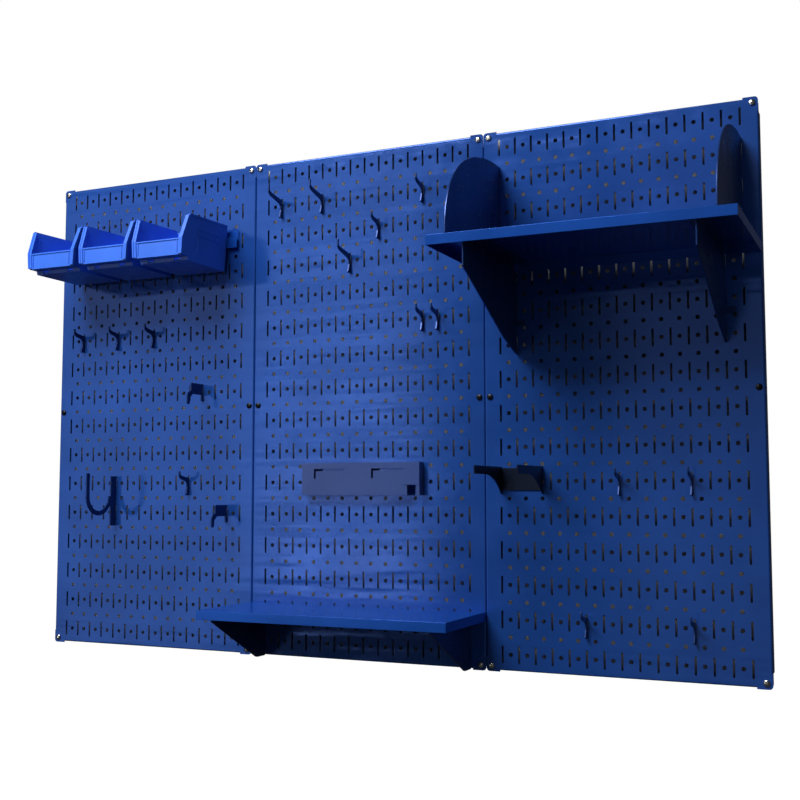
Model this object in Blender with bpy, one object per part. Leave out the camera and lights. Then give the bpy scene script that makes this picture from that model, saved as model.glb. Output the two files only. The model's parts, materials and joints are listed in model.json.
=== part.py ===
"""Wall tool board: three slotted steel panels side by side, held to a wall by screws, with hooks, holders,
hopper bins on a hanger strip, and two shelves on end brackets. Everything hung on the board has hooked tabs
that drop behind a panel's slots, so it lifts off.

Metres. X runs to the right, Y into the wall, Z up. The wall is the plane Y = 0 and the board's foot is Z = 0.
Profiles are lists of (out, up) points: out is the distance in front of the panels' face, up is along Z.
"""

import math

import bmesh
import bpy

INCH = 0.0254
GAP = 0.0003  # between pieces that touch

# Panels
PANEL_PITCH = 16 * INCH
PANEL_HEIGHT = 32 * INCH
PANEL_SPACING = 0.0006
PANEL_DEPTH = 0.75 * INCH
SHEET = 0.0010
FLANGE_STEP = 0.0020  # the bent edge lies this far inside the flat corner tabs
CORNER_TAB = 0.021
FACE_Y = -PANEL_DEPTH
PANEL_LEFT_X = {"left": -1.5 * PANEL_PITCH, "middle": -0.5 * PANEL_PITCH, "right": 0.5 * PANEL_PITCH}

# Slots: one column for each inch, one row for every two inches
SLOT_HEIGHT = 1 * INCH
SLOT_WIDTH = 0.0032

# Hooked tab, measured from the middle of its slot
TAB_TOP = -0.0065
TAB_FOOT = -0.5 * SLOT_HEIGHT + GAP
TAB_LIP_FOOT = -0.0205
TAB_LIP_FRONT = -SHEET - 0.0005
TAB_BACK = TAB_LIP_FRONT - 0.0027

# Fixing screws
SCREW_INSET = 0.0085
SCREW_HOLE_RADIUS = 0.0028
SCREW_HEAD_RADIUS = 0.0046
SCREW_HEAD_HEIGHT = 0.0028
SCREW_SHANK_RADIUS = 0.0021
SCREW_LENGTH = 0.038
SCREW_POINT = 0.006

# Steel thicknesses
HOOK_STEEL = 0.0023
BRACKET_STEEL = 0.0020
STRIP_STEEL = 0.0015
RACK_STEEL = 0.0012

# Hooks: distance from the board to the tip, and the tip's top above the slot's middle
SMALL_REACH, SMALL_TIP_TOP = 1.125 * INCH, 0.0190
LONG_REACH, LONG_TIP_TOP = 1.75 * INCH, 0.0270
LEG_FOOT = -0.0210

# Shelves
SHELF_LIP = 0.0140
UPPER_SHELF_TOP, UPPER_SHELF_DEPTH = 0.6070, 9 * INCH
LOWER_SHELF_TOP, LOWER_SHELF_DEPTH = 0.0860, 6.25 * INCH
SHELF_BRACKET_LENGTH = {"upper": 0.2210, "lower": 0.1560}
DIVIDER_LENGTH, DIVIDER_TOP = 0.2220, 0.7570

# Bins, and the strip that they hook over
BIN_HALF_TOP, BIN_HALF_FOOT = 0.0508, 0.0458
BIN_FOOT, BIN_TOP = 0.6340, 0.7090
BIN_BACK, BIN_FRONT = 0.0082, 0.1330
BIN_LIP_TOP = 0.6670
BIN_WALL = 0.0020
BIN_SPACING = 0.1087
BIN_MIDDLE_X = -0.4132
STRIP_HALF_LENGTH = 7 * INCH


def panel_x(panel, inches):
    return PANEL_LEFT_X[panel] + inches * INCH


def slot_z(row):
    """The height of the middle of a slot in this row, counted from the top."""
    return PANEL_HEIGHT - (2 * row - 1) * INCH


# Where each hung piece's tabs go: panel, column, row
SMALL_HOOK_PLACES = [
    ("left", 2, 6), ("left", 5, 6), ("left", 8, 6), ("left", 11, 11),
    ("middle", 12, 2), ("middle", 9, 3), ("middle", 12, 6), ("middle", 13, 6),
    ("right", 8, 11), ("right", 12, 11), ("right", 6, 15), ("right", 12, 15),
]
LONG_HOOK_PLACES = [("middle", 2, 2), ("middle", 5, 2), ("middle", 7, 4)]
TAB_HOOK_PLACES = [("left", 12, 8), ("left", 14, 12)]
U_HOOK_PLACES = [("left", 5, 11), ("left", 5, 12)]
STRIP_PLACES = [("left", 2, 3), ("left", 14, 3)]
RACK_PLACES = [("middle", 4, 11), ("middle", 12, 11)]
HAMMER_PLACES = [("right", 1, 11), ("right", 3, 11)]
UPPER_BRACKET_PLACES = [("right", c, r) for c in (2, 14) for r in (5, 6)]
DIVIDER_PLACES = [("right", c, r) for c in (1, 15) for r in (3, 4)]
LOWER_BRACKET_PLACES = [("middle", c, r) for c in (1, 15) for r in (15, 16)]
ALL_PLACES = (
    SMALL_HOOK_PLACES + LONG_HOOK_PLACES + TAB_HOOK_PLACES + U_HOOK_PLACES + STRIP_PLACES
    + RACK_PLACES + HAMMER_PLACES + UPPER_BRACKET_PLACES + LOWER_BRACKET_PLACES + DIVIDER_PLACES
)


# Modelling helpers


def clear_scene():
    for obj in list(bpy.data.objects):
        bpy.data.objects.remove(obj)


def make_material(name, color, roughness, metallic=0.0):
    material = bpy.data.materials.new(name)
    material.use_nodes = True
    shader = material.node_tree.nodes["Principled BSDF"]
    shader.inputs["Base Color"].default_value = (*color, 1.0)
    shader.inputs["Roughness"].default_value = roughness
    shader.inputs["Metallic"].default_value = metallic
    return material


def add_object(name, mesh_data, material=None):
    """A new object from a bmesh. Without a material it is a hidden helper."""
    bmesh.ops.recalc_face_normals(mesh_data, faces=mesh_data.faces)
    mesh = bpy.data.meshes.new(name)
    mesh_data.to_mesh(mesh)
    mesh_data.free()
    obj = bpy.data.objects.new(name, mesh)
    bpy.context.scene.collection.objects.link(obj)
    if material is None:
        obj.hide_render = True
        obj.display_type = "WIRE"
    else:
        mesh.materials.append(material)
    return obj


def combine(obj, operation, *others):
    """Boolean union or difference of obj with helper objects."""
    for other in others:
        modifier = obj.modifiers.new(other.name, "BOOLEAN")
        modifier.operation = operation
        modifier.object = other


def add_box(mesh_data, low, high):
    corners = bmesh.ops.create_cube(mesh_data, size=1.0)["verts"]
    for corner in corners:
        for axis in range(3):
            middle = (low[axis] + high[axis]) / 2
            corner.co[axis] = middle + corner.co[axis] * (high[axis] - low[axis])


def box_object(name, low, high, material=None):
    mesh_data = bmesh.new()
    add_box(mesh_data, low, high)
    return add_object(name, mesh_data, material)


def prism(name, profile, x_low, x_high, material=None, half_width=None):
    """A closed solid: the (out, up) profile swept along X. half_width(up) makes it taper about its middle."""
    mesh_data = bmesh.new()
    middle = (x_low + x_high) / 2
    rings = []
    for side, x in ((-1, x_low), (1, x_high)):
        ring = []
        for out, up in profile:
            place = x if half_width is None else middle + side * half_width(up)
            ring.append(mesh_data.verts.new((place, FACE_Y - out, up)))
        rings.append(ring)
    mesh_data.faces.new(rings[0])
    mesh_data.faces.new(reversed(rings[1]))
    for i in range(len(profile)):
        j = (i + 1) % len(profile)
        mesh_data.faces.new((rings[0][i], rings[1][i], rings[1][j], rings[0][j]))
    mesh_data.normal_update()
    bmesh.ops.triangulate(mesh_data, faces=[face for face in mesh_data.faces if len(face.verts) > 4])
    return add_object(name, mesh_data, material)


def rounded(corners, steps=3):
    """The outline with each (out, up, radius) corner turned into an arc."""
    outline = []
    count = len(corners)
    for i, (out, up, radius) in enumerate(corners):
        if radius == 0:
            outline.append((out, up))
            continue
        before, after = corners[i - 1], corners[(i + 1) % count]
        ways = []
        for other in (before, after):
            length = math.hypot(other[0] - out, other[1] - up)
            ways.append(((other[0] - out) / length, (other[1] - up) / length))
        half = math.acos(max(-1.0, min(1.0, ways[0][0] * ways[1][0] + ways[0][1] * ways[1][1]))) / 2
        setback = radius / math.tan(half)
        start = (out + ways[0][0] * setback, up + ways[0][1] * setback)
        end = (out + ways[1][0] * setback, up + ways[1][1] * setback)
        bisector = (ways[0][0] + ways[1][0], ways[0][1] + ways[1][1])
        reach = radius / math.sin(half) / math.hypot(*bisector)
        centre = (out + bisector[0] * reach, up + bisector[1] * reach)
        first = math.atan2(start[1] - centre[1], start[0] - centre[0])
        turn = math.atan2(end[1] - centre[1], end[0] - centre[0]) - first
        turn = (turn + math.pi) % (2 * math.pi) - math.pi
        for step in range(steps + 1):
            angle = first + turn * step / steps
            outline.append((centre[0] + radius * math.cos(angle), centre[1] + radius * math.sin(angle)))
    return outline


def arc(centre, radius, start_degrees, end_degrees, steps):
    turn = end_degrees - start_degrees
    angles = [math.radians(start_degrees + turn * i / steps) for i in range(steps + 1)]
    return [(centre[0] + radius * math.cos(a), centre[1] + radius * math.sin(a)) for a in angles]


def superellipse(half_out, half_up, power, steps):
    """A quarter of a superellipse, from its top to its outermost point."""
    points = []
    for step in range(steps + 1):
        angle = math.pi / 2 * (1 - step / steps)
        points.append((half_out * math.cos(angle) ** (2 / power), half_up * math.sin(angle) ** (2 / power)))
    return points


def tab_points(up, back=GAP):
    """A tab's outline, going down: back from the plate, through the slot and down behind the sheet."""
    return [
        (back, up + TAB_TOP),
        (TAB_BACK, up + TAB_TOP),
        (TAB_BACK, up + TAB_LIP_FOOT),
        (TAB_LIP_FRONT, up + TAB_LIP_FOOT),
        (TAB_LIP_FRONT, up + TAB_FOOT),
        (back, up + TAB_FOOT),
    ]


def ear(name, x, up, plate_back):
    """A tab for a piece whose plate lies along the board. plate_back reaches into that plate."""
    half = HOOK_STEEL / 2
    return prism(name, tab_points(up, plate_back), x - half, x + half)


# Panels and screws


def build_panel(panel, material):
    left = PANEL_LEFT_X[panel] + PANEL_SPACING / 2
    right = PANEL_LEFT_X[panel] + PANEL_PITCH - PANEL_SPACING / 2
    back = FACE_Y + SHEET
    overlap = SHEET / 2
    body = box_object("panel_" + panel, (left, FACE_Y, 0), (right, back, PANEL_HEIGHT), material)
    sides = bmesh.new()
    for x in (left, right - SHEET):
        add_box(sides, (x, back - overlap, FLANGE_STEP), (x + SHEET, 0, PANEL_HEIGHT - FLANGE_STEP))
    ends = bmesh.new()
    for z in (FLANGE_STEP, PANEL_HEIGHT - FLANGE_STEP - SHEET):
        add_box(ends, (left + CORNER_TAB, back - overlap, z), (right - CORNER_TAB, 0, z + SHEET))
    cutters = bmesh.new()
    for place_panel, column, row in ALL_PLACES:
        if place_panel != panel:
            continue
        x, z = panel_x(panel, column), slot_z(row)
        half_x, half_z = SLOT_WIDTH / 2, SLOT_HEIGHT / 2
        add_box(cutters, (x - half_x, FACE_Y - SHEET, z - half_z), (x + half_x, back + SHEET, z + half_z))
    for x, z in screw_places(panel).values():
        add_turned(cutters, x, z, [(SCREW_HOLE_RADIUS, FACE_Y - SHEET), (SCREW_HOLE_RADIUS, back + SHEET)])
    combine(body, "UNION", add_object(f"cut_{panel}_sides", sides), add_object(f"cut_{panel}_ends", ends))
    combine(body, "DIFFERENCE", add_object(f"cut_{panel}_openings", cutters))


def screw_places(panel):
    left = PANEL_LEFT_X[panel] + SCREW_INSET
    right = PANEL_LEFT_X[panel] + PANEL_PITCH - SCREW_INSET
    heights = {"bottom": SCREW_INSET, "middle": PANEL_HEIGHT / 2, "top": PANEL_HEIGHT - SCREW_INSET}
    return {
        f"{level}_{side}": (x, z)
        for level, z in heights.items()
        for side, x in (("left", left), ("right", right))
    }


def add_turned(mesh_data, x, z, profile, sides=12):
    """A closed solid turned about the line along Y through x, z. The profile lists (radius, y) going back."""
    rings = []
    for radius, y in profile:
        ring = []
        for i in range(sides):
            angle = 2 * math.pi * i / sides
            ring.append(mesh_data.verts.new((x + radius * math.cos(angle), y, z + radius * math.sin(angle))))
        rings.append(ring)
    mesh_data.faces.new(rings[0])
    mesh_data.faces.new(reversed(rings[-1]))
    for near, far in zip(rings, rings[1:]):
        for i in range(sides):
            j = (i + 1) % sides
            mesh_data.faces.new((near[i], far[i], far[j], near[j]))


def build_screw(name, x, z, material):
    """A pan head screw that runs through the panel and on into the wall."""
    head_back = FACE_Y - GAP
    head_front = head_back - SCREW_HEAD_HEIGHT
    shank_end = head_back + SCREW_LENGTH
    mesh_data = bmesh.new()
    add_turned(mesh_data, x, z, [
        (SCREW_HEAD_RADIUS * 0.62, head_front),
        (SCREW_HEAD_RADIUS * 0.9, head_front + SCREW_HEAD_HEIGHT * 0.3),
        (SCREW_HEAD_RADIUS, head_front + SCREW_HEAD_HEIGHT * 0.7),
        (SCREW_HEAD_RADIUS, head_back),
        (SCREW_SHANK_RADIUS, head_back),
        (SCREW_SHANK_RADIUS, shank_end - SCREW_POINT),
        (SCREW_SHANK_RADIUS * 0.15, shank_end),
    ])
    screw = add_object(name, mesh_data, material)
    screw.data.shade_smooth()
    screw.data.set_sharp_from_angle(angle=math.radians(35))


# Hooks: flat steel plates that stand in a slot


def leg_points():
    """The leg that bears on the board under the arm, from its waist down to its foot."""
    return [
        (0.0062, 0.0000, 0.004),
        (0.0052, -0.0075, 0.006),
        (0.0098, LEG_FOOT, 0.0015),
        (GAP, LEG_FOOT, 0.0),
    ]


def arm_hook(name, place, reach, tip_top, root_top, elbow_up, material):
    """An arm that rises a little as it leaves the board and ends in an upright tip."""
    panel, column, row = place
    x, up = panel_x(panel, column), slot_z(row)
    tip_width = 0.0034
    front = [
        (GAP, root_top, 0.0),
        (reach - 2.6 * tip_width, elbow_up, 0.004),
        (reach - tip_width, elbow_up + 0.0025, 0.0015),
        (reach - tip_width, tip_top, 0.0012),
        (reach, tip_top, 0.0012),
        (reach, elbow_up - 0.0005, 0.0035),
        (reach - 0.0055, elbow_up - 0.0055, 0.004),
        (0.0085, 0.0022, 0.003),
    ]
    outline = [(out, up + rise) for out, rise in rounded(front + leg_points())]
    outline += list(reversed(tab_points(up)))
    half = HOOK_STEEL / 2
    prism(name, outline, x - half, x + half, material)


def build_tab_hook(name, place, material):
    """A square tab that stands out from the board, with a finger that turns down at its outer end."""
    panel, column, row = place
    x, up = panel_x(panel, column), slot_z(row)
    top, foot = 0.0140, -0.0045
    plate_end, finger_out, finger_in, finger_foot = 0.0345, 0.0450, 0.0375, -0.0225
    corners = [
        (GAP, top, 0.0),
        (plate_end, top, 0.0015),
        (plate_end, 0.0005, 0.003),
        (finger_out, -0.0035, 0.006),
        (finger_out, finger_foot, 0.0035),
        (finger_in, finger_foot, 0.0035),
        (finger_in - 0.0006, -0.0105, 0.004),
        (plate_end - 0.006, foot, 0.004),
        (GAP, foot, 0.0),
    ]
    outline = [(out, up + rise) for out, rise in rounded(corners)]
    # The tab goes down past the plate's foot, so the plate's lower edge meets it at the board.
    outline = outline[:-1] + [(GAP + 0.004, up + foot), (GAP + 0.004, up - 0.0150), (GAP, up - 0.0150)]
    outline += list(reversed(tab_points(up)))
    half = HOOK_STEEL / 2
    prism(name, outline, x - half, x + half, material)


def build_u_hook(name, places, material):
    """A bar in two slots with a wide hook that turns up to a tip level with the bar's top."""
    panel, column, upper_row = places[0]
    lower_row = places[1][2]
    x = panel_x(panel, column)
    bar_top, bar_foot, bar_front = 0.2914, 0.2060, 0.0145
    centre, outer, inner = (0.0450, 0.2570), 0.0330, 0.0250
    tip_top = 0.2955
    outline = [(GAP, bar_top), (bar_front, bar_top)]
    outline.append((bar_front, centre[1]))
    outline += [point for point in arc(centre, inner, 180, 360, 16) if point[0] > bar_front]
    outline += [(centre[0] + inner, tip_top), (centre[0] + outer, tip_top)]
    outline += [point for point in arc(centre, outer, 360, 180, 20) if point[0] > bar_front]
    outline += [(bar_front, centre[1] - 0.0180), (bar_front, bar_foot), (GAP, bar_foot)]
    for row in (lower_row, upper_row):
        outline += list(reversed(tab_points(slot_z(row))))
    half = HOOK_STEEL / 2
    prism(name, outline, x - half, x + half, material)


# Holders


def build_tool_rack(material):
    """A shallow channel, open below: front plate with two L-shaped windows, a top, and two ends with tabs."""
    left, right = (panel_x(*place[:2]) for place in RACK_PLACES)
    up = slot_z(RACK_PLACES[0][2])
    foot, top, depth = 0.2588, 0.3096, 0.0165
    half = RACK_STEEL / 2
    front = FACE_Y - depth
    rack = box_object(
        "tool_rack",
        (left - half, front, foot),
        (right + half, front + RACK_STEEL, top),
        material,
    )
    cover = box_object(
        "rack_top",
        (left - half, front + RACK_STEEL / 3, top - RACK_STEEL),
        (right + half, FACE_Y - GAP, top),
    )
    ends = []
    for side, x in (("left", left), ("right", right)):
        outline = [(GAP, top), (depth - RACK_STEEL / 3, top), (depth - RACK_STEEL / 3, foot), (GAP, foot)]
        outline += list(reversed(tab_points(up)))
        ends.append(prism(f"rack_end_{side}", outline, x - half, x + half))
    cuts = []
    window_top, bar, stem = top - 0.0095, 0.0032, 0.0150
    near, far = front - SHEET, front + 2 * RACK_STEEL
    for start, length in ((0.021, 0.053), (0.122, 0.056)):
        x = left + start
        stem_top = window_top - bar / 2
        cuts.append(box_object("rack_bar", (x, near, window_top - bar), (x + length, far, window_top)))
        cuts.append(box_object("rack_stem", (x, near, window_top - stem), (x + bar, far, stem_top)))
    notch = box_object(
        "rack_notch",
        (right - 0.0200, front - SHEET, foot - SHEET),
        (right - 0.0050, front + 2 * RACK_STEEL, foot + 0.0160),
    )
    combine(rack, "UNION", cover, *ends)
    combine(rack, "DIFFERENCE", *cuts, notch)


def build_hammer_holder(material):
    """A fork: two arms with curved gussets, joined by a web that lies on the board."""
    left = panel_x(*HAMMER_PLACES[0][:2])
    right = left + 2.5 * INCH
    up = slot_z(HAMMER_PLACES[0][2])
    top, arm_foot, arm_length = 0.3010, 0.2890, 4.5 * INCH
    gusset_start, gusset_radius = 0.0700, 0.1000
    centre = (gusset_start, arm_foot - gusset_radius)
    lowest = math.degrees(math.acos((GAP - gusset_start) / gusset_radius))
    edge = [(GAP, top), (arm_length, top), (arm_length, arm_foot)]
    edge += arc(centre, gusset_radius, 90, lowest, 8)
    half = BRACKET_STEEL / 2
    plain = edge
    tabbed = edge + list(reversed(tab_points(up)))
    holder = prism("hammer_holder", tabbed, left - half, left + half, material)
    arm = prism("hammer_right_arm", plain, right - half, right + half)
    web = box_object(
        "hammer_web",
        (left, FACE_Y - GAP - BRACKET_STEEL, 0.2665),
        (right, FACE_Y - GAP, 0.2990),
    )
    second_ear = ear("hammer_ear", panel_x(*HAMMER_PLACES[1][:2]), up, GAP + BRACKET_STEEL / 2)
    combine(holder, "UNION", web, arm, second_ear)


# Bins and their hanger strip


def bin_half_width(up, inset=0.0):
    share = (up - BIN_FOOT) / (BIN_TOP - BIN_FOOT)
    return BIN_HALF_FOOT + (BIN_HALF_TOP - BIN_HALF_FOOT) * share - inset


def build_bin(name, middle, material):
    """An open-front hopper bin with a ledge behind that hooks over the strip."""
    foot_front, chin_out, chin = 0.1145, 0.1160, 0.0060
    peak_out, peak_up = 0.1180, 0.7060
    outer = [
        (BIN_BACK, BIN_FOOT),
        (foot_front, BIN_FOOT),
        (chin_out, BIN_FOOT + chin),
        (BIN_FRONT, BIN_FOOT + chin),
        (BIN_FRONT, BIN_LIP_TOP - 0.0020),
        (peak_out, peak_up),
        (BIN_BACK, BIN_TOP),
    ]
    above = BIN_TOP + 0.0100
    beyond = BIN_FRONT + 0.0100
    inner = [
        (BIN_BACK + BIN_WALL, BIN_FOOT + BIN_WALL),
        (foot_front - BIN_WALL, BIN_FOOT + BIN_WALL),
        (chin_out - BIN_WALL, BIN_FOOT + chin + BIN_WALL),
        (BIN_FRONT - BIN_WALL, BIN_FOOT + chin + BIN_WALL),
        (BIN_FRONT - BIN_WALL, BIN_LIP_TOP),
        (beyond, BIN_LIP_TOP),
        (beyond, above),
        (BIN_BACK + BIN_WALL, above),
    ]
    body = prism(name, outer, middle, middle, material, bin_half_width)
    hollow = prism(name + "_hollow", inner, middle, middle, None, lambda up: bin_half_width(up, BIN_WALL))
    ledge_profile = [
        (BIN_BACK + BIN_WALL / 2, 0.6948),
        (0.0030, 0.6948),
        (0.0030, 0.6780),
        (0.0050, 0.6780),
        (0.0050, 0.6923),
        (BIN_BACK + BIN_WALL / 2, 0.6923),
    ]
    ledge = prism(name + "_ledge", ledge_profile, middle - 0.038, middle + 0.038)
    combine(body, "DIFFERENCE", hollow)
    combine(body, "UNION", ledge)


def build_strip(material):
    """The hanger strip: a plate on the board whose foot turns out and up into the lip that holds the bins."""
    foot, top, lip_top = 0.6740, 0.7030, 0.6920
    lip_out = 0.0075
    thick = STRIP_STEEL
    profile = [
        (GAP, top),
        (GAP + thick, top),
        (GAP + thick, foot + thick),
        (lip_out - thick, foot + thick),
        (lip_out - thick, lip_top),
        (lip_out, lip_top),
        (lip_out, foot),
        (GAP, foot),
    ]
    left, right = BIN_MIDDLE_X - STRIP_HALF_LENGTH, BIN_MIDDLE_X + STRIP_HALF_LENGTH
    strip = prism("bin_hanger", profile, left, right, material)
    ears = [
        ear(f"hanger_ear_{column}", panel_x(panel, column), slot_z(row), GAP + thick / 2)
        for panel, column, row in STRIP_PLACES
    ]
    combine(strip, "UNION", *ears)


# Shelves


def build_shelf(name, panel, top, depth, material):
    """A folded tray: a plate with lips turned down on all four edges."""
    left = PANEL_LEFT_X[panel] + PANEL_SPACING / 2
    right = PANEL_LEFT_X[panel] + PANEL_PITCH - PANEL_SPACING / 2
    back, front = FACE_Y - 2 * GAP, FACE_Y - depth
    shelf = box_object(name, (left, front, top - SHELF_LIP), (right, back, top), material)
    hollow = box_object(
        name + "_hollow",
        (left + SHEET, front + SHEET, top - 2 * SHELF_LIP),
        (right - SHEET, back - SHEET, top - SHEET),
    )
    combine(shelf, "DIFFERENCE", hollow)


def bracket_top(shelf_top, length):
    """The top of a bracket, from the board outwards: it steps up inside the shelf's back lip."""
    below_lip = shelf_top - SHELF_LIP - 0.0020
    under_plate = shelf_top - SHEET - GAP
    inside_lip = 0.0065
    steps = [(GAP, below_lip), (inside_lip, below_lip), (inside_lip, under_plate), (length, under_plate)]
    return [(out, up, 0.0) for out, up in steps]


def upper_bracket_profile():
    """A gusset under the shelf whose lower edge falls towards the board in a shallow curve."""
    length = SHELF_BRACKET_LENGTH["upper"]
    corners = bracket_top(UPPER_SHELF_TOP, length)
    corners += [
        (length, 0.5620, 0.002),
        (0.1630, 0.5356, 0.100),
        (0.0610, 0.4880, 0.100),
        (0.0060, 0.4695, 0.003),
        (GAP, 0.4695, 0.0),
    ]
    return rounded(corners, 3)


def lower_bracket_profile():
    """A triangular gusset under the shelf."""
    length = SHELF_BRACKET_LENGTH["lower"]
    corners = bracket_top(LOWER_SHELF_TOP, length)
    corners += [(length, 0.0700, 0.0), (0.0260, 0.0010, 0.020), (GAP, 0.0010, 0.0)]
    return rounded(corners, 5)


def divider_profile():
    """An end plate that stands on the shelf, with a rounded front and top."""
    foot = UPPER_SHELF_TOP + GAP
    full_height = foot + 0.0040
    curve = superellipse(DIVIDER_LENGTH, DIVIDER_TOP - full_height, 2.25, 16)
    edge = [(out, full_height + up) for out, up in curve[1:]]
    return [(GAP, DIVIDER_TOP)] + edge + [(DIVIDER_LENGTH, foot), (GAP, foot)]


def build_tabbed_plate(name, panel, column, profile, rows, material):
    """A plate that stands out from the board, with its wall edge at the start and end of the profile."""
    x = panel_x(panel, column)
    half = BRACKET_STEEL / 2
    outline = list(profile)
    for row in rows:
        outline += list(reversed(tab_points(slot_z(row))))
    return prism(name, outline, x - half, x + half, material)


def add_ledge(bracket, x, inward, shelf_top, length):
    """The flange along a bracket's top that the shelf rests on."""
    under_plate = shelf_top - SHEET - GAP
    near, far = sorted((x, x + inward * 0.0180))
    ledge = box_object(
        bracket.name + "_ledge",
        (near, FACE_Y - length + 0.0080, under_plate - BRACKET_STEEL),
        (far, FACE_Y - 0.0080, under_plate),
    )
    combine(bracket, "UNION", ledge)


def add_foot_tab(bracket, x):
    """A small square ear that lies on the board beside the bracket."""
    low, high = (x, FACE_Y - GAP - STRIP_STEEL, 0.5108), (x + 0.0145, FACE_Y - GAP, 0.5196)
    combine(bracket, "UNION", box_object(bracket.name + "_foot", low, high))


def build_shelves(material, end_material):
    build_shelf("upper_shelf", "right", UPPER_SHELF_TOP, UPPER_SHELF_DEPTH, material)
    build_shelf("lower_shelf", "middle", LOWER_SHELF_TOP, LOWER_SHELF_DEPTH, material)
    for side, column, inward in (("left", 2, 1), ("right", 14, -1)):
        name = f"upper_shelf_bracket_{side}"
        bracket = build_tabbed_plate(name, "right", column, upper_bracket_profile(), (6, 5), end_material)
        x = panel_x("right", column)
        add_ledge(bracket, x, inward, UPPER_SHELF_TOP, SHELF_BRACKET_LENGTH["upper"])
        add_foot_tab(bracket, x)
    for side, column, inward in (("left", 1, 1), ("right", 15, -1)):
        name = f"lower_shelf_bracket_{side}"
        bracket = build_tabbed_plate(name, "middle", column, lower_bracket_profile(), (16, 15), end_material)
        add_ledge(bracket, panel_x("middle", column), inward, LOWER_SHELF_TOP, SHELF_BRACKET_LENGTH["lower"])
        build_tabbed_plate(f"shelf_divider_{side}", "right", column, divider_profile(), (4, 3), end_material)


def build_hooks(material):
    counts = {}
    for place in SMALL_HOOK_PLACES:
        counts[place[0]] = counts.get(place[0], 0) + 1
        name = f"small_hook_{place[0]}_{counts[place[0]]}"
        arm_hook(name, place, SMALL_REACH, SMALL_TIP_TOP, 0.0085, 0.0115, material)
    for number, place in enumerate(LONG_HOOK_PLACES, 1):
        arm_hook(f"long_hook_{number}", place, LONG_REACH, LONG_TIP_TOP, 0.0095, 0.0150, material)
    for number, place in enumerate(TAB_HOOK_PLACES, 1):
        build_tab_hook(f"tab_hook_{number}", place, material)
    build_u_hook("u_hook", U_HOOK_PLACES, material)


def main():
    clear_scene()
    steel = make_material("blue_powder_coat", (0.024, 0.085, 0.36), 0.25)
    dark_steel = make_material("dark_blue_powder_coat", (0.012, 0.030, 0.12), 0.3)
    plastic = make_material("blue_plastic", (0.045, 0.16, 0.75), 0.3)
    zinc = make_material("zinc_plated_steel", (0.62, 0.62, 0.60), 0.3, 1.0)
    black = make_material("black_steel", (0.03, 0.03, 0.035), 0.4, 1.0)
    for panel in PANEL_LEFT_X:
        build_panel(panel, steel)
        for place, (x, z) in screw_places(panel).items():
            build_screw(f"screw_{panel}_{place}", x, z, black if "middle" in place else zinc)
    build_hooks(dark_steel)
    build_tool_rack(steel)
    build_hammer_holder(dark_steel)
    build_strip(steel)
    for number in range(3):
        build_bin(f"bin_{number + 1}", BIN_MIDDLE_X + (number - 1) * BIN_SPACING, plastic)
    build_shelves(steel, dark_steel)


main()
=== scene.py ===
"""Looks for the wall tool board: perforated powder-coated panels, folded steel shelves, hooks and holders,
moulded bins and plated screws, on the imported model's frame. Metres; the wall is the plane Y = 0."""

import json
import math

import bmesh
import bpy
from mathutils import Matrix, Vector


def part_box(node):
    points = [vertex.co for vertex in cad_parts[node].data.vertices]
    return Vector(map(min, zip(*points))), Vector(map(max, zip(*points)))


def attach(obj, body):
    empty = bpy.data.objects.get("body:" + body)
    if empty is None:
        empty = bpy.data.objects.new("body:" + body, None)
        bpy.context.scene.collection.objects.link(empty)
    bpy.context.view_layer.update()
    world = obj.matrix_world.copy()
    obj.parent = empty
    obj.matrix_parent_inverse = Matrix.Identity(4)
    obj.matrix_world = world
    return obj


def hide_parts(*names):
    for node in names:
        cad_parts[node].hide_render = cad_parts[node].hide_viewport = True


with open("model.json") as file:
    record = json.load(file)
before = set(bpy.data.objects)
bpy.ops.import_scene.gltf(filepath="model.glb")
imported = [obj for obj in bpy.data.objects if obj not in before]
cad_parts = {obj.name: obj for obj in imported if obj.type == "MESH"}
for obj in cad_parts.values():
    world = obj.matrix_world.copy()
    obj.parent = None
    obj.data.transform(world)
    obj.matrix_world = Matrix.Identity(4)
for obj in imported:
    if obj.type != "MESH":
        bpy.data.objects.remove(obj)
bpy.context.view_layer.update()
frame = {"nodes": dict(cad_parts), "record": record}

INCH = 0.0254

# The panels' folded sheet. The frame gives its height and the plane of its front
PANELS = ("left", "middle", "right")
PANEL_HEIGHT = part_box("panel_middle")[1].z
FACE_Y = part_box("panel_middle")[0].y
SHEET = 0.0010
BEND = 0.0022  # outer radius of the folded edges
EDGE_STEP = 0.0020  # the top and bottom folds lie this far inside the corner tabs
CORNER_TAB = 0.0210
CORNER_RADIUS = 0.0050

# Perforation: slots on every inch across and every two inches down, and round holes half way between the
# slots' columns, on every inch down
SLOT_COLUMNS = range(1, 16)
SLOT_ROWS = range(1, 17)
SLOT_WIDTH = 0.0032
SLOT_CORNER = 0.0008
HOLE_RADIUS = 0.125 * INCH
SCREW_INSET = 0.0085
SCREW_HOLE_RADIUS = 0.0028

# Coat and plastic colours, linear RGB
BLUE = (0.016, 0.080, 0.375)
SHELF_BLUE = (0.009, 0.078, 0.420)
# Painted shade: the panels' blue darkened, standing for the shade on the side faces of the hooks, dividers
# and brackets
SHADE_DARKENED_BLUE = (0.011, 0.040, 0.170)
# Painted shade: the blue coat made near black, standing for the shade under the hammer holder's web and
# between its arms
SHADE_BLACKENED_BLUE = (0.007, 0.012, 0.030)
RACK_BLUE = (0.030, 0.062, 0.215)
BIN_BLUE = (0.036, 0.160, 0.780)


# Materials


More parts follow.
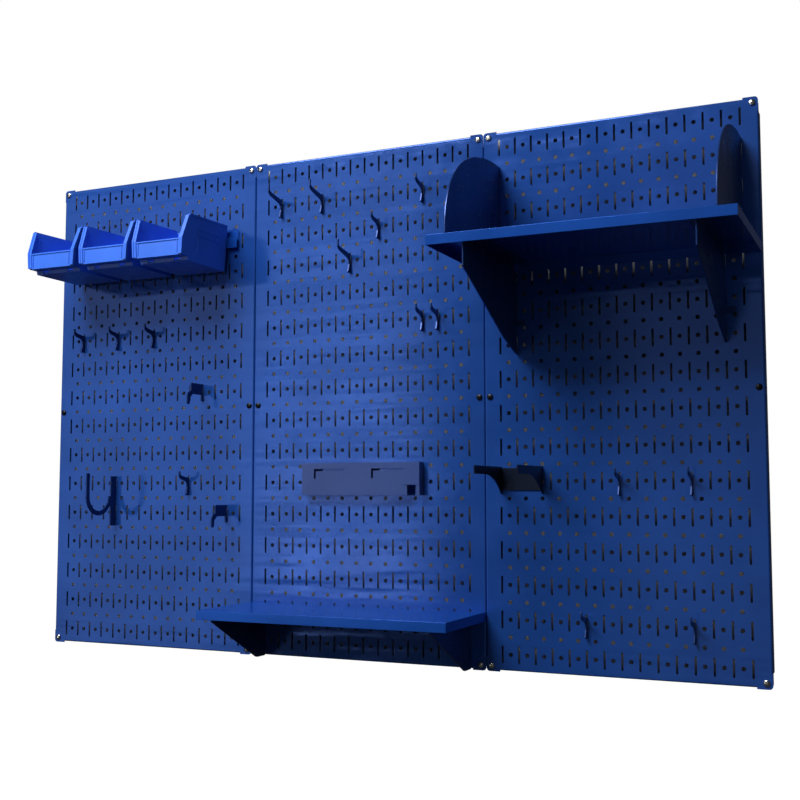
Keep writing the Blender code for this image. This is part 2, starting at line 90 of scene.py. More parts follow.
class Shader:
    """A node material with one Principled shader, and short ways to add texture nodes to it. The uniform
    values are named after the shader's sockets, with _ for a space."""

    def __init__(self, name, **uniform):
        self.material = bpy.data.materials.new(name)
        self.material.use_nodes = True
        self.tree = self.material.node_tree
        self.shader = self.tree.nodes["Principled BSDF"]
        for socket, value in uniform.items():
            self.shader.inputs[socket.replace("_", " ")].default_value = value
        self.place = self.tree.nodes.new("ShaderNodeTexCoord").outputs["Object"]

    def noise(self, scale, detail=2.0, stretch=(1, 1, 1), roughness=0.5):
        mapping = self.tree.nodes.new("ShaderNodeMapping")
        mapping.inputs["Scale"].default_value = stretch
        texture = self.tree.nodes.new("ShaderNodeTexNoise")
        texture.inputs["Scale"].default_value = scale
        texture.inputs["Detail"].default_value = detail
        texture.inputs["Roughness"].default_value = roughness
        self.tree.links.new(self.place, mapping.inputs["Vector"])
        self.tree.links.new(mapping.outputs["Vector"], texture.inputs["Vector"])
        return texture.outputs["Fac"]

    def span(self, value, low, high):
        """A texture value between 0.3 and 0.7 stretched over low to high."""
        ramp = self.tree.nodes.new("ShaderNodeMapRange")
        ramp.inputs["From Min"].default_value = 0.3
        ramp.inputs["From Max"].default_value = 0.7
        ramp.inputs["To Min"].default_value = low
        ramp.inputs["To Max"].default_value = high
        self.tree.links.new(value, ramp.inputs["Value"])
        return ramp.outputs["Result"]

    def color_between(self, value, first, second):
        mix = self.tree.nodes.new("ShaderNodeMix")
        mix.data_type = "RGBA"
        mix.inputs["A"].default_value = (*first, 1)
        mix.inputs["B"].default_value = (*second, 1)
        self.tree.links.new(self.span(value, 0, 1), mix.inputs["Factor"])
        self.tree.links.new(mix.outputs["Result"], self.shader.inputs["Base Color"])

    def vary_roughness(self, value, low, high):
        self.tree.links.new(self.span(value, low, high), self.shader.inputs["Roughness"])

    def bump(self, *layers):
        """Layers of (texture value, height in metres, strength), one on the other."""
        normal = None
        for value, height, strength in layers:
            node = self.tree.nodes.new("ShaderNodeBump")
            node.inputs["Distance"].default_value = height
            node.inputs["Strength"].default_value = strength
            self.tree.links.new(value, node.inputs["Height"])
            if normal is not None:
                self.tree.links.new(normal, node.inputs["Normal"])
            normal = node.outputs["Normal"]
        self.tree.links.new(normal, self.shader.inputs["Normal"])


def tinted(color, factor):
    return tuple(channel * factor for channel in color)


def powder_coat(name, color, ripple, gloss=(0.10, 0.17), specular=0.5, metallic=0.4):
    """Semi-gloss powder coat: fine orange peel, faint cloudiness, and the slow ripple of thin sheet."""
    coat = Shader(name, Metallic=metallic, Specular_IOR_Level=specular)
    coat.color_between(coat.noise(9, 4), tinted(color, 0.88), tinted(color, 1.12))
    coat.vary_roughness(coat.noise(26, 3), *gloss)
    peel = coat.noise(620, 2)
    waves = coat.noise(10, 1, (0.6, 1.0, 6.0))
    coat.bump((waves, 0.0009 * ripple, 0.7), (peel, 0.00005 * (1 + ripple), 0.5))
    return coat.material


def bin_plastic():
    """Injection-moulded polypropylene with a faint grain and flow clouding."""
    plastic = Shader("bin_plastic", Specular_IOR_Level=0.45)
    plastic.color_between(plastic.noise(14, 3), tinted(BIN_BLUE, 0.90), tinted(BIN_BLUE, 1.06))
    plastic.vary_roughness(plastic.noise(60, 3), 0.30, 0.44)
    plastic.bump((plastic.noise(1500, 2), 0.00008, 0.35), (plastic.noise(22, 2), 0.0006, 0.25))
    return plastic.material


def screw_metal(name, color, low, high):
    """Plated steel with the faint cloud and scratches of a driven screw."""
    metal = Shader(name, Metallic=1.0)
    metal.color_between(metal.noise(700, 3), tinted(color, 0.75), color)
    metal.vary_roughness(metal.noise(900, 3), low, high)
    metal.bump((metal.noise(2200, 2, (1, 1, 4)), 0.00006, 0.4))
    return metal.material


# Mesh helpers

MERGE = 1e-6  # points closer than this are one point
PANEL_SHARP_DEGREES = 32  # edges over this angle stay sharp, on each kind of piece
SOFTENED_SHARP_DEGREES = 40
SCREW_SHARP_DEGREES = 35
BEVEL_OVER_DEGREES = 28  # edges over this angle are rounded

def piece_from(name, mesh_data, material, body):
    """A visible piece from a bmesh, riding on a body."""
    bmesh.ops.recalc_face_normals(mesh_data, faces=mesh_data.faces)
    mesh = bpy.data.meshes.new(name)
    mesh_data.to_mesh(mesh)
    mesh_data.free()
    mesh.materials.append(material)
    mesh.shade_smooth()
    mesh.set_sharp_from_angle(angle=math.radians(PANEL_SHARP_DEGREES))
    piece = bpy.data.objects.new(name, mesh)
    bpy.context.scene.collection.objects.link(piece)
    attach(piece, body)
    return piece


def add_box(mesh_data, low, high):
    corners = bmesh.ops.create_cube(mesh_data, size=1.0)["verts"]
    for corner in corners:
        for axis in range(3):
            corner.co[axis] = (low[axis] + high[axis]) / 2 + corner.co[axis] * (high[axis] - low[axis])


def sweep(mesh_data, section, places):
    """A closed solid: the section, a list of points, put through each place in turn."""
    rings = []
    for place in places:
        rings.append([mesh_data.verts.new(place(point)) for point in section])
    mesh_data.faces.new(rings[0])
    mesh_data.faces.new(reversed(rings[-1]))
    count = len(section)
    for near, far in zip(rings, rings[1:]):
        for i in range(count):
            j = (i + 1) % count
            mesh_data.faces.new((near[i], far[i], far[j], near[j]))


def arc(centre, radius, start_degrees, end_degrees, steps):
    points = []
    for i in range(steps + 1):
        angle = math.radians(start_degrees + (end_degrees - start_degrees) * i / steps)
        points.append((centre[0] + radius * math.cos(angle), centre[1] + radius * math.sin(angle)))
    return points


def softened(node, material, edge_radius, segments=2, extra=None, cutter=None):
    """The CAD node's shape in place of the node. The cutter is taken out, the edges are rounded, and then the
    extra solids are added."""
    source = frame["nodes"][node]
    mesh_data = bmesh.new()
    mesh_data.from_mesh(source.data)
    bmesh.ops.remove_doubles(mesh_data, verts=mesh_data.verts, dist=MERGE)
    bmesh.ops.dissolve_limit(
        mesh_data, angle_limit=math.radians(0.5), verts=mesh_data.verts, edges=mesh_data.edges
    )
    piece = piece_from(node + "_shape", mesh_data, material, body_of(node))
    if cutter is not None:
        cut(piece, cutter)
    bevel = piece.modifiers.new("edges", "BEVEL")
    bevel.width = edge_radius
    bevel.segments = segments
    bevel.limit_method = "ANGLE"
    bevel.angle_limit = math.radians(BEVEL_OVER_DEGREES)
    bevel.use_clamp_overlap = True
    apply_modifiers(piece)
    if extra is not None:
        join_mesh(piece, extra)
    even_shading(piece)
    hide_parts(node)


def even_shading(piece):
    """Large flat faces keep their own normal. Only the rounded edges and the curves are shaded smoothly."""
    piece.data.shade_smooth()
    piece.data.set_sharp_from_angle(angle=math.radians(SOFTENED_SHARP_DEGREES))
    weights = piece.modifiers.new("normals", "WEIGHTED_NORMAL")
    weights.mode = "FACE_AREA"
    weights.weight = 100
    weights.keep_sharp = True
    apply_modifiers(piece)


def body_of(node):
    for body, members in frame["record"]["behaviour"]["bodies"].items():
        if node in members:
            return body
    raise KeyError(node)


def apply_modifiers(piece):
    graph = bpy.context.evaluated_depsgraph_get()
    mesh = bpy.data.meshes.new_from_object(piece.evaluated_get(graph))
    piece.modifiers.clear()
    old = piece.data
    piece.data = mesh
    bpy.data.meshes.remove(old)


def cut(piece, mesh_data):
    """Takes the bmesh's solids out of the piece."""
    bmesh.ops.recalc_face_normals(mesh_data, faces=mesh_data.faces)
    mesh = bpy.data.meshes.new("cutter")
    mesh_data.to_mesh(mesh)
    mesh_data.free()
    cutter = bpy.data.objects.new("cutter", mesh)
    bpy.context.scene.collection.objects.link(cutter)
    modifier = piece.modifiers.new("cut", "BOOLEAN")
    modifier.operation = "DIFFERENCE"
    modifier.object = cutter
    apply_modifiers(piece)
    bpy.data.objects.remove(cutter)


def join_mesh(piece, mesh_data):
    """Adds the bmesh's solids to the piece's mesh."""
    bmesh.ops.recalc_face_normals(mesh_data, faces=mesh_data.faces)
    extra = bpy.data.meshes.new("extra")
    mesh_data.to_mesh(extra)
    mesh_data.free()
    whole = bmesh.new()
    whole.from_mesh(piece.data)
    whole.from_mesh(extra)
    whole.to_mesh(piece.data)
    whole.free()
    bpy.data.meshes.remove(extra)


# Panels


def circle(x, z, radius, sides=14):
    return arc((x, z), radius, 0, 360 * (sides - 1) / sides, sides - 1)


def rounded_box(x, z, half_x, half_z, radius):
    """The outline of a rounded rectangle, with three points at each corner."""
    outline = []
    for side_x, side_z, start in ((1, 1, 0), (-1, 1, 90), (-1, -1, 180), (1, -1, 270)):
        centre = (x + side_x * (half_x - radius), z + side_z * (half_z - radius))
        outline += arc(centre, radius, start, start + 90, 2)
    return outline


def sheet_outline(left, right):
    """The flat of the front sheet: full at the four corner tabs, and back to the bends between them."""
    low, high = EDGE_STEP + BEND, PANEL_HEIGHT - EDGE_STEP - BEND
    tab_low, tab_high = CORNER_TAB, PANEL_HEIGHT - CORNER_TAB
    r = CORNER_RADIUS
    outline = [(left + CORNER_TAB, low), (left + CORNER_TAB, 0)]
    outline += arc((left + r, r), r, 270, 180, 4)
    outline += [(left, tab_low), (left + BEND, tab_low), (left + BEND, tab_high), (left, tab_high)]
    outline += arc((left + r, PANEL_HEIGHT - r), r, 180, 90, 4)
    outline += [(left + CORNER_TAB, PANEL_HEIGHT), (left + CORNER_TAB, high)]
    outline += [(right - CORNER_TAB, high), (right - CORNER_TAB, PANEL_HEIGHT)]
    outline += arc((right - r, PANEL_HEIGHT - r), r, 90, 0, 4)
    outline += [(right, tab_high), (right - BEND, tab_high), (right - BEND, tab_low), (right, tab_low)]
    outline += arc((right - r, r), r, 0, -90, 4)
    outline += [(right - CORNER_TAB, 0), (right - CORNER_TAB, low)]
    return outline


def perforation(grid_left, left, right):
    """The outlines of every opening in a panel."""
    openings = []
    for row in SLOT_ROWS:
        z = PANEL_HEIGHT - (2 * row - 1) * INCH
        for column in SLOT_COLUMNS:
            openings.append(
                rounded_box(grid_left + column * INCH, z, SLOT_WIDTH / 2, INCH / 2, SLOT_CORNER)
            )
    for half_row in range(1, 2 * len(SLOT_ROWS)):
        z = PANEL_HEIGHT - half_row * INCH
        for column in SLOT_COLUMNS[:-1]:
            openings.append(circle(grid_left + (column + 0.5) * INCH, z, HOLE_RADIUS))
    for x in (left + SCREW_INSET, right - SCREW_INSET):
        for z in (SCREW_INSET, PANEL_HEIGHT / 2, PANEL_HEIGHT - SCREW_INSET):
            openings.append(circle(x, z, SCREW_HOLE_RADIUS, 16))
    return openings


def flat_sheet(outlines):
    """A sheet of the panels' thickness: the first outline filled, with the others as openings."""
    curve = bpy.data.curves.new("sheet", "CURVE")
    curve.dimensions = "2D"
    curve.fill_mode = "BOTH"
    curve.extrude = SHEET / 2
    for outline in outlines:
        spline = curve.splines.new("POLY")
        spline.points.add(len(outline) - 1)
        for point, (x, z) in zip(spline.points, outline):
            point.co = (x, z, 0, 1)
        spline.use_cyclic_u = True
    holder = bpy.data.objects.new("sheet", curve)
    bpy.context.scene.collection.objects.link(holder)
    graph = bpy.context.evaluated_depsgraph_get()
    mesh = bpy.data.meshes.new_from_object(holder.evaluated_get(graph))
    bpy.data.objects.remove(holder)
    mesh_data = bmesh.new()
    mesh_data.from_mesh(mesh)
    bpy.data.meshes.remove(mesh)
    bmesh.ops.remove_doubles(mesh_data, verts=mesh_data.verts, dist=MERGE)
    for vert in mesh_data.verts:
        x, z, depth = vert.co
        vert.co = (x, FACE_Y + SHEET / 2 + depth, z)
    return mesh_data


def add_flange(mesh_data, edge, inward, start, end, place):
    """A folded edge: a bend from the front sheet and a flange back to the wall. place(across, y, along) gives
    a point of it."""
    centre_across = edge + inward * BEND
    outer = arc((0, 0), BEND, 0, 90, 5)
    inner = arc((0, 0), BEND - SHEET, 90, 0, 5)
    section = [(centre_across - inward * BEND, 0.0)]
    section += [(centre_across - inward * a, FACE_Y + BEND - b) for a, b in outer]
    section += [(centre_across - inward * a, FACE_Y + BEND - b) for a, b in inner]
    section += [(centre_across - inward * (BEND - SHEET), 0.0)]
    sweep(mesh_data, section, [lambda p, along=along: place(p[0], p[1], along) for along in (start, end)])


def build_panel(panel, material):
    low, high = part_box("panel_" + panel)
    left, right = low.x, high.x
    grid_left = (PANELS.index(panel) - 1.5) * 16 * INCH
    mesh_data = flat_sheet([sheet_outline(left, right)] + perforation(grid_left, left, right))
    tab_low, tab_high = CORNER_TAB, PANEL_HEIGHT - CORNER_TAB
    for edge, inward in ((left, 1), (right, -1)):
        add_flange(mesh_data, edge, inward, tab_low, tab_high, lambda across, y, along: (across, y, along))
    for edge, inward in ((EDGE_STEP, 1), (PANEL_HEIGHT - EDGE_STEP, -1)):
        add_flange(
            mesh_data, edge, inward, left + CORNER_TAB, right - CORNER_TAB,
            lambda across, y, along: (along, y, across),
        )
    piece = piece_from(f"panel_{panel}_perforated", mesh_data, material, "board")
    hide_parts("panel_" + panel)


# Screws

HEAD_GAP = 0.0003  # between the head and the sheet
HEAD_RADIUS, HEAD_HEIGHT = 0.0046, 0.0028
HEAD_BEVEL = 0.0002
SHANK_RADIUS, SCREW_LENGTH, POINT_LENGTH = 0.0021, 0.038, 0.006
THREAD_START, THREAD_PITCH, THREAD_DEPTH = 0.002, 0.0018, 0.0003
RECESS_REACH, RECESS_HALF_WIDTH, RECESS_DEPTH = 0.0025, 0.00045, 0.0017
RECESS_CLEAR = 0.001  # how far the cutter stands out of the head

def screw_mesh(name, material):
    """A pan head with a cross recess and a threaded shank, at the origin with its axis along Y."""
    profile = [(0.0, -HEAD_HEIGHT)]
    profile += [
        (HEAD_RADIUS * math.sin(a), -HEAD_HEIGHT * (0.35 + 0.65 * math.cos(a)))
        for a in (math.radians(d) for d in (12, 24, 36, 50, 66, 84))
    ]
    profile += [(HEAD_RADIUS, -HEAD_BEVEL), (HEAD_RADIUS - HEAD_BEVEL, 0.0), (SHANK_RADIUS, 0.0)]
    y = THREAD_START
    while y < SCREW_LENGTH - POINT_LENGTH:
        profile += [(SHANK_RADIUS - THREAD_DEPTH, y), (SHANK_RADIUS, y + THREAD_PITCH * 0.5)]
        y += THREAD_PITCH
    profile += [(0.0, SCREW_LENGTH)]
    mesh_data = bmesh.new()
    verts = [mesh_data.verts.new((radius, y, 0)) for radius, y in profile]
    edges = [mesh_data.edges.new(pair) for pair in zip(verts, verts[1:])]
    bmesh.ops.spin(
        mesh_data, geom=verts + edges, cent=(0, 0, 0), axis=(0, 1, 0),
        angle=2 * math.pi, steps=28, use_merge=True,
    )
    bmesh.ops.remove_doubles(mesh_data, verts=mesh_data.verts, dist=MERGE)
    bmesh.ops.recalc_face_normals(mesh_data, faces=mesh_data.faces)
    template = bpy.data.objects.new(name, bpy.data.meshes.new(name))
    mesh_data.to_mesh(template.data)
    mesh_data.free()
    bpy.context.scene.collection.objects.link(template)
    outside, inside = -HEAD_HEIGHT - RECESS_CLEAR, -HEAD_HEIGHT + RECESS_DEPTH
    arms = ((RECESS_REACH, RECESS_HALF_WIDTH), (RECESS_HALF_WIDTH, RECESS_REACH))
    for half_x, half_z in arms:
        recess = bmesh.new()
        add_box(recess, (-half_x, outside, -half_z), (half_x, inside, half_z))
        cut(template, recess)
    mesh = template.data
    bpy.data.objects.remove(template)
    mesh.materials.clear()
    mesh.materials.append(material)
    mesh.shade_smooth()
    mesh.set_sharp_from_angle(angle=math.radians(SCREW_SHARP_DEGREES))
    return mesh


def build_screws(zinc, black):
    meshes = {"zinc_screw": screw_mesh("zinc_screw", zinc), "black_screw": screw_mesh("black_screw", black)}
    for node in frame["nodes"]:
        if not node.startswith("screw_"):
            continue
        low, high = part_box(node)
        level = node.split("_")[2]  # of screw_PANEL_LEVEL_SIDE
        slot = "black_screw" if level == "middle" else "zinc_screw"
        piece = bpy.data.objects.new(node + "_shape", meshes[slot])
        piece.location = ((low.x + high.x) / 2, FACE_Y - HEAD_GAP, (low.z + high.z) / 2)
        # The screws stop at different angles.
        piece.rotation_euler.y = math.radians(37 * len(node) + 1000 * (low.x + low.z)) % math.pi
        bpy.context.scene.collection.objects.link(piece)
        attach(piece, "board")
        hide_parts(node)


# Bins. Heights are over the bin's foot or drops from its top, and out is the distance from the panels' front

BIN_EDGE = 0.0005  # the rounding of the moulded edges
BIN_LEAN = 0.0050  # each side wall leans out by this much, foot to top
LIP_HEIGHT = 0.0330
MOUTH_FOOT_HEIGHT = 0.0075
CORNER_OUT, CORNER_DROP = 0.1180, 0.0030  # the top front corner of a side wall
RIM_MIDDLE_OUT, RIM_MIDDLE_DROP = 0.0600, 0.0015
RIM_BACK_OUT = 0.0095
FRAME_PROUD, FRAME_WIDTH = 0.0004, 0.0060  # the flat strip down each side of the mouth
RIB_PROUD, RIB_SUNK = 0.0013, 0.0004
UPRIGHT_RIB_OUTS, UPRIGHT_RIB_FOOT, UPRIGHT_RIB_DROP = (0.0900, 0.0914), 0.0160, 0.0200
LEVEL_RIB_OUTS, LEVEL_RIB_DROPS, LEVEL_RIB_THICK = (0.0280, 0.0900), (0.0214, 0.0314), 0.0012
RIDGE_INSET, RIDGE_HALF_WIDTH, RIDGE_PROUD, RIDGE_SUNK = 0.0100, 0.0006, 0.0010, 0.0005
RIDGE_FOOT, RIDGE_DROP = 0.0100, 0.0005
ROLL_RADIUS, ROLL_BACK, ROLL_DROP, ROLL_INSET = 0.0018, 0.0004, 0.0016, 0.0050
NOTCH_SHARE, NOTCH_HALF_WIDTH = 0.25, 0.0055  # off the middle, as a share of the bin's width
NOTCH_OUTS, NOTCH_UPS = (0.1130, 0.1190), (0.0010, 0.0052)

def bin_half_width(node, up):
    """Half of the bin's outer width at a height: the walls lean out towards the top."""
    low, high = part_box(node)
    half_top = (high.x - low.x) / 2
    half_foot = half_top - BIN_LEAN
    return half_foot + (half_top - half_foot) * (up - low.z) / (high.z - low.z)


def bin_details(node):
    """The strips round the mouth, the rims, the ribs on the walls, and the lip's ridges and rolled top."""
    low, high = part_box(node)
    middle = (low.x + high.x) / 2
    front_y = low.y
    front_out = FACE_Y - front_y
    lip_top = low.z + LIP_HEIGHT
    corner = (CORNER_OUT, high.z - CORNER_DROP)
    mouth = [(front_out, low.z + MOUTH_FOOT_HEIGHT), (front_out, lip_top), corner]
    rim = [corner, (RIM_MIDDLE_OUT, high.z - RIM_MIDDLE_DROP), (RIM_BACK_OUT, high.z)]
    # (path, the two edges as insets from the wall's outside, the two faces off the path)
    ribbons = (
        (mouth, (-FRAME_PROUD, FRAME_WIDTH), (0.0, 0.0016)),
        (mouth, (-0.0012, 0.0016), (-0.0030, 0.0024)),
        (rim, (-0.0014, 0.0008), (0.0030, 0.0)),
    )
    details = bmesh.new()
    for side in (-1, 1):
        for path, insets, offsets in ribbons:
            def edges(up, side=side, insets=insets):
                return tuple(middle + side * (bin_half_width(node, up) - inset) for inset in insets)

            add_ribbon(details, path, edges, offsets)
        upright = (low.z + UPRIGHT_RIB_FOOT, high.z - UPRIGHT_RIB_DROP)
        add_wall_rib(details, node, middle, side, UPRIGHT_RIB_OUTS, upright)
        for drop in LEVEL_RIB_DROPS:
            level = (high.z - drop, high.z - drop + LEVEL_RIB_THICK)
            add_wall_rib(details, node, middle, side, LEVEL_RIB_OUTS, level)
    for side in (-1, 1):
        x = middle + side * (bin_half_width(node, lip_top) - RIDGE_INSET)
        add_box(
            details,
            (x - RIDGE_HALF_WIDTH, front_y - RIDGE_PROUD, low.z + RIDGE_FOOT),
            (x + RIDGE_HALF_WIDTH, front_y + RIDGE_SUNK, lip_top - RIDGE_DROP),
        )
    half = bin_half_width(node, lip_top) - ROLL_INSET
    section = arc((front_y + ROLL_BACK, lip_top - ROLL_DROP), ROLL_RADIUS, 0, 330, 10)
    sweep(details, section, [lambda p, x=x: (x, p[0], p[1]) for x in (middle - half, middle + half)])
    return details


def add_ribbon(mesh_data, path, sides, offsets):
    """A bar along a path of (out, up) points. sides(up) gives the X of its two edges, and offsets give its
    two faces, measured square to the path."""
    inner, outer = offsets
    rings = []
    for i, (out, up) in enumerate(path):
        before = Vector(path[max(i - 1, 0)])
        after = Vector(path[min(i + 1, len(path) - 1)])
        along = (after - before).normalized()
        square = Vector((along.y, -along.x))
        ring = []
        for shift in (inner, outer):
            place = Vector((out, up)) + square * shift
            xs = sides(up)
            order = xs if shift == inner else tuple(reversed(xs))
            ring += [mesh_data.verts.new((x, FACE_Y - place.x, place.y)) for x in order]
        rings.append(ring)
    mesh_data.faces.new(rings[0])
    mesh_data.faces.new(reversed(rings[-1]))
    for near, far in zip(rings, rings[1:]):
        for i in range(4):
            j = (i + 1) % 4
            mesh_data.faces.new((near[i], far[i], far[j], near[j]))


def add_wall_rib(mesh_data, node, middle, side, outs, ups):
    """A shallow raised bar on a leaning side wall."""
    (near, far), (foot, top) = outs, ups
    section = [(near, foot), (far, foot), (far, top), (near, top)]

    def at(depth):
        return lambda p: (middle + side * (bin_half_width(node, p[1]) + depth), FACE_Y - p[0], p[1])

    sweep(mesh_data, section, [at(-RIB_SUNK), at(RIB_PROUD)])


def bin_notches(node):
    """Two shallow recesses in the step under the front lip."""
    low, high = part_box(node)
    middle = (low.x + high.x) / 2
    notches = bmesh.new()
    for share in (-NOTCH_SHARE, NOTCH_SHARE):
        x = middle + share * (high.x - low.x)
        add_box(
            notches,
            (x - NOTCH_HALF_WIDTH, FACE_Y - NOTCH_OUTS[1], low.z + NOTCH_UPS[0]),
            (x + NOTCH_HALF_WIDTH, FACE_Y - NOTCH_OUTS[0], low.z + NOTCH_UPS[1]),
        )
    return notches


def build_bins(material):
    for number in (1, 2, 3):
        node = f"bin_{number}"
        details, notches = bin_details(node), bin_notches(node)
        softened(node, material, BIN_EDGE, extra=details, cutter=notches)


# Steel accessories

HOOK_EDGE, SHELF_EDGE, RACK_EDGE = 0.00035, 0.00045, 0.00020  # the rounding of the edges
BLOCK_LEFT, BLOCK_DROP, BLOCK_PROUD = 0.1780, 0.0350, 0.0009  # the raised block, from the rack's top left
CUT_CLEAR = 0.001  # how far the rack's cutter stands out of the rack

def rack_relief():
    """What lowers the rack's front round the raised block at its right end."""
    low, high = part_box("tool_rack")
    left, right = low.x - CUT_CLEAR, high.x + CUT_CLEAR
    foot, top = low.z - CUT_CLEAR, high.z + CUT_CLEAR
    block_left, block_foot = low.x + BLOCK_LEFT, high.z - BLOCK_DROP
    outline = [
        (left, foot), (right, foot), (right, block_foot),
        (block_left, block_foot), (block_left, top), (left, top),
    ]
    relief = bmesh.new()
    depths = (low.y - CUT_CLEAR, low.y + BLOCK_PROUD)
    sweep(relief, outline, [lambda p, y=y: (p[0], y, p[1]) for y in depths])
    return relief


def build_accessories(coats):
    hooks = ("small_hook", "long_hook", "tab_hook", "u_hook", "shelf_divider")
    for node in frame["nodes"]:
        if node.startswith(hooks) or "shelf_bracket" in node:
            # the hooks, dividers and brackets get the darkened blue, which is painted shade
            softened(node, coats["shade_darkened_blue"], HOOK_EDGE)
        elif node == "hammer_holder":
            # the hammer holder gets the near-black blue, which is painted shade
            softened(node, coats["shade_blackened_blue"], HOOK_EDGE)
        elif node in ("upper_shelf", "lower_shelf", "bin_hanger"):
            softened(node, coats["blue"], SHELF_EDGE, segments=3)
        elif node == "tool_rack":
            softened(node, coats["rack"], RACK_EDGE, cutter=rack_relief())


# Stage: wall patch behind the board, floor, lights and camera

WALL_INSET, WALL_Y = 0.0015, 0.0006  # the patch stays inside the board's outline, just behind its flanges
FLOOR_Z, FLOOR_REACH = -1.20, 30
CARD_Y = -2.50
WHOLE_ROOM = (-0.50, 1.70)  # the height of the tall cards
STRIPS, STRIP_FOOT, STRIP_PITCH, STRIP_HEIGHT = 6, -0.10, 0.31, 0.18
STRIP_RADIANCE, STRIP_FALL = 2.1, 0.18  # the lowest strip is the brightest
CAMERA_PLACE, CAMERA_LENS = (0.7943, -1.63045, 0.2609), 51.24
CAMERA_UP_DEGREES, CAMERA_LEFT_DEGREES = 4.71, 24.42

def stage_plane(name, corners, material):
    mesh = bpy.data.meshes.new(name)
    mesh.from_pydata(corners, [], [(0, 1, 2, 3)])
    mesh.materials.append(material)
    plane = bpy.data.objects.new(name, mesh)
    bpy.context.scene.collection.objects.link(plane)
    return plane


def wall_paint():
    """Pale wall, seen only from the room side, so that the board's back can be looked at too."""
    paint = Shader("wall_paint", Roughness=0.8)
    paint.color_between(paint.noise(40, 3), (0.31, 0.31, 0.31), (0.36, 0.36, 0.36))
    nodes, links = paint.tree.nodes, paint.tree.links
    back = nodes.new("ShaderNodeNewGeometry").outputs["Backfacing"]
    clear = nodes.new("ShaderNodeBsdfTransparent")
    mix = nodes.new("ShaderNodeMixShader")
    links.new(back, mix.inputs["Fac"])
    links.new(paint.shader.outputs["BSDF"], mix.inputs[1])
    links.new(clear.outputs["BSDF"], mix.inputs[2])
    links.new(mix.outputs["Shader"], nodes["Material Output"].inputs["Surface"])
    return paint.material


def floor_paint():
    paint = Shader("floor_paint", Roughness=0.7, Emission_Color=(1, 1, 1, 1), Emission_Strength=1.0)
    paint.color_between(paint.noise(3, 2), (0.40, 0.40, 0.40), (0.44, 0.44, 0.44))
    return paint.material


def build_stage():
    left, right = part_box("panel_left")[0].x + WALL_INSET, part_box("panel_right")[1].x - WALL_INSET
    foot, top = EDGE_STEP + WALL_INSET, PANEL_HEIGHT - EDGE_STEP - WALL_INSET
    wall_corners = [(x, WALL_Y, z) for x, z in ((left, foot), (right, foot), (right, top), (left, top))]
    stage_plane("wall_patch", wall_corners, wall_paint())
    corner_signs = ((-1, -1), (1, -1), (1, 1), (-1, 1))
    floor_corners = [(x * FLOOR_REACH, y * FLOOR_REACH, FLOOR_Z) for x, y in corner_signs]
    floor = stage_plane("floor", floor_corners, floor_paint())
    floor.visible_diffuse = False
    floor.visible_glossy = False


def add_area(name, place, target, size, power):
    light = bpy.data.lights.new(name, "AREA")
    light.shape = "RECTANGLE"
    light.size, light.size_y = size
    light.energy = power
    holder = bpy.data.objects.new(name, light)
    holder.location = place
    holder.rotation_euler = (Vector(target) - Vector(place)).to_track_quat("-Z", "Z").to_euler()
    holder.visible_camera = False
    bpy.context.scene.collection.objects.link(holder)
    return holder


def add_card(name, x_span, z_span, radiance):
    """A softly glowing card facing the board, mostly seen as a reflection in its gloss."""
    width, height = x_span[1] - x_span[0], z_span[1] - z_span[0]
    x, z = sum(x_span) / 2, sum(z_span) / 2
    power = radiance * math.pi * width * height
    add_area(name, place=(x, CARD_Y, z), target=(x, 0, z), size=(width, height), power=power)


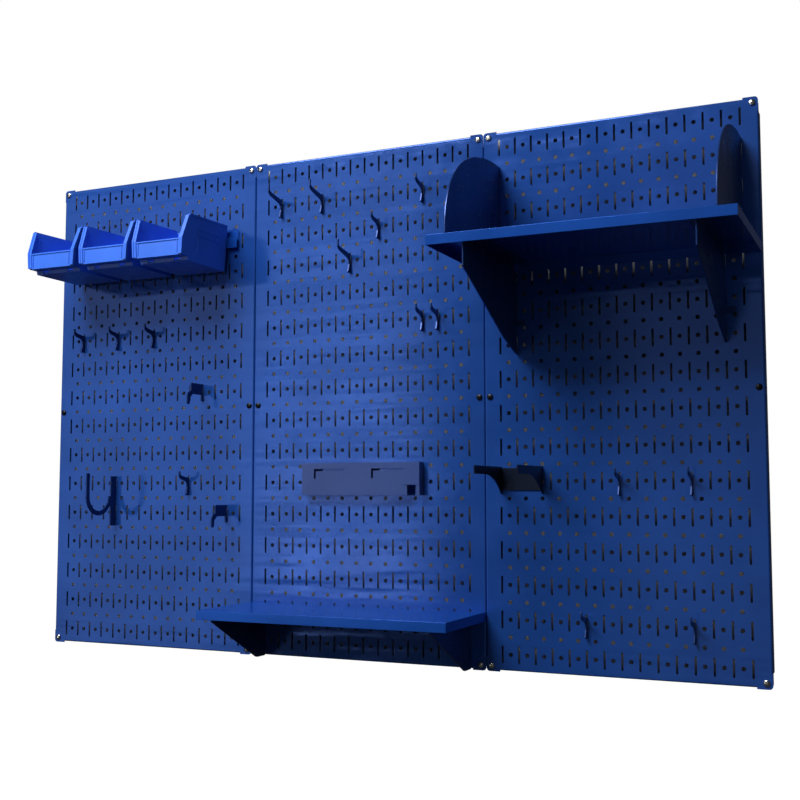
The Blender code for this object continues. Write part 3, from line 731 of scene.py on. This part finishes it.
def build_lights():
    # A broad soft key, high up in front of the board's left half.
    add_area("key", place=(-0.65, -1.70, 2.15), target=(-0.35, 0, 0.45), size=(1.30, 1.00), power=80)
    add_card("left_card", x_span=(-2.90, -1.73), z_span=WHOLE_ROOM, radiance=0.60)
    for strip in range(STRIPS):
        foot = STRIP_FOOT + STRIP_PITCH * strip
        add_card(
            f"middle_strip_{strip}",
            x_span=(-1.73, -0.96),
            z_span=(foot, foot + STRIP_HEIGHT),
            radiance=STRIP_RADIANCE - STRIP_FALL * strip,
        )
    add_card("right_card", x_span=(-0.20, 0.60), z_span=WHOLE_ROOM, radiance=0.20)
    fills = (
        add_area("side_fill", place=(2.30, -1.60, 0.90), target=(0.1, 0, 0.5), size=(1.0, 1.6), power=5),
        add_area("back_fill", place=(0.5, 2.5, 2.0), target=(0, 0, 0.4), size=(2.0, 1.2), power=90),
    )
    for fill in fills:
        fill.visible_glossy = False
    world = bpy.data.worlds.new("studio")
    world.use_nodes = True
    nodes, links = world.node_tree.nodes, world.node_tree.links
    dim = nodes["Background"]
    dim.inputs["Color"].default_value = (1, 0.97, 0.93, 1)
    dim.inputs["Strength"].default_value = 0.030
    bright = nodes.new("ShaderNodeBackground")
    bright.inputs["Color"].default_value = (1, 1, 1, 1)
    bright.inputs["Strength"].default_value = 1.0
    seen = nodes.new("ShaderNodeLightPath").outputs["Is Camera Ray"]
    mix = nodes.new("ShaderNodeMixShader")
    links.new(seen, mix.inputs["Fac"])
    links.new(dim.outputs["Background"], mix.inputs[1])
    links.new(bright.outputs["Background"], mix.inputs[2])
    links.new(mix.outputs["Shader"], nodes["World Output"].inputs["Surface"])
    bpy.context.scene.world = world


def build_camera():
    camera = bpy.data.cameras.new("camera")
    camera.lens = CAMERA_LENS
    camera.sensor_width = 36
    holder = bpy.data.objects.new("camera", camera)
    holder.location = CAMERA_PLACE
    holder.rotation_euler = (math.radians(90 + CAMERA_UP_DEGREES), 0, math.radians(CAMERA_LEFT_DEGREES))
    bpy.context.scene.collection.objects.link(holder)
    bpy.context.scene.camera = holder


def main():
    build_camera()
    steel = powder_coat("blue_powder_coat", BLUE, ripple=1.0)
    shelf, hook, rack = (0.18, 0.26), (0.24, 0.34), (0.20, 0.28)
    coats = {
        "blue": powder_coat("shelf_powder_coat", SHELF_BLUE, 0.3, gloss=shelf, specular=0.25),
        # the hook coat's darker blue is painted shade, not a darker paint
        "shade_darkened_blue": powder_coat("hook_powder_coat_painted_shade", SHADE_DARKENED_BLUE, 0.3, gloss=hook, specular=0.35),
        # the hammer holder coat's near-black colour is painted shade, not black paint
        "shade_blackened_blue": powder_coat("hammer_holder_powder_coat_painted_shade", SHADE_BLACKENED_BLUE, 0.3, gloss=hook, specular=0.25),
        "rack": powder_coat("rack_powder_coat", RACK_BLUE, 0.3, gloss=rack, specular=0.28, metallic=0.0),
    }
    zinc = screw_metal("zinc_plate", (0.78, 0.78, 0.74), 0.14, 0.30)
    black = screw_metal("black_oxide", (0.035, 0.035, 0.038), 0.28, 0.45)
    for panel in PANELS:
        build_panel(panel, steel)
    build_screws(zinc, black)
    build_bins(bin_plastic())
    build_accessories(coats)
    build_stage()
    build_lights()
    bpy.context.scene.view_settings.view_transform = "Standard"


main()
